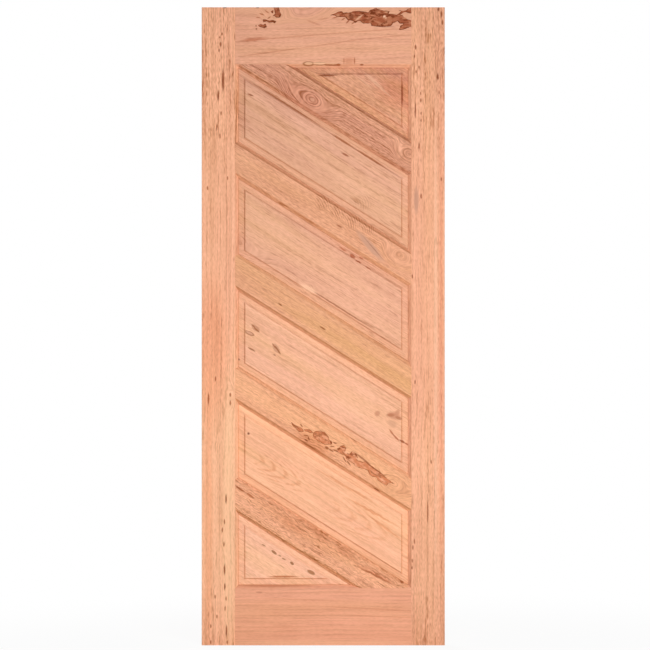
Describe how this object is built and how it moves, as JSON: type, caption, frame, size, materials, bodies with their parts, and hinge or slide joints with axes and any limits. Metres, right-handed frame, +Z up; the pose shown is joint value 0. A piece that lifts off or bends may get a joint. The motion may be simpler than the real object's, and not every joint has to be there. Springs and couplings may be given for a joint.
{
  "type": "diagonal panelled wooden door leaf",
  "caption": "Solid timber door leaf: stiles, top and bottom rail, parallel diagonal rails with moulded edges, and raised panels floating in grooves, alike on both faces.",
  "frame": {"origin": "foot of the hinge edge at mid thickness, on the edge face that the hinges are screwed to", "axes": "+X from the hinge edge to the lock edge across the leaf, +Y from the front face to the back face, +Z up"},
  "size_m": [0.8, 0.035, 2.1],
  "materials": {
    "left_stile_timber": "bare sanded hardwood with a thin clear coat",
    "right_stile_timber": "bare sanded hardwood with a thin clear coat",
    "top_rail_timber": "bare sanded hardwood with bark pockets and a thin clear coat",
    "bottom_rail_timber": "bare sanded hardwood with a thin clear coat",
    "diagonal_rail_1_timber": "bare sanded hardwood with knot figure and a thin clear coat",
    "diagonal_rail_2_timber": "bare sanded hardwood with a thin clear coat",
    "diagonal_rail_3_timber": "bare sanded hardwood with a thin clear coat",
    "diagonal_rail_4_timber": "bare sanded hardwood with a bark pocket and a thin clear coat",
    "diagonal_rail_5_timber": "bare sanded hardwood with mottled figure and a thin clear coat",
    "panel_1_timber": "bare sanded hardwood with a thin clear coat",
    "panel_2_timber": "bare sanded hardwood with a thin clear coat",
    "panel_3_timber": "bare sanded hardwood with a thin clear coat",
    "panel_4_timber": "bare sanded hardwood with small knots and a thin clear coat",
    "panel_5_timber": "bare sanded hardwood with a thin clear coat",
    "panel_6_timber": "bare sanded hardwood with a thin clear coat"
  },
  "bodies": {
    "root": {"left_stile": "left_stile_timber", "right_stile": "right_stile_timber", "top_rail": "top_rail_timber", "bottom_rail": "bottom_rail_timber", "diagonal_rail_1": "diagonal_rail_1_timber", "diagonal_rail_2": "diagonal_rail_2_timber", "diagonal_rail_3": "diagonal_rail_3_timber", "diagonal_rail_4": "diagonal_rail_4_timber", "diagonal_rail_5": "diagonal_rail_5_timber", "panel_1": "panel_1_timber", "panel_2": "panel_2_timber", "panel_3": "panel_3_timber", "panel_4": "panel_4_timber", "panel_5": "panel_5_timber", "panel_6": "panel_6_timber"}
  },
  "joints": []
}
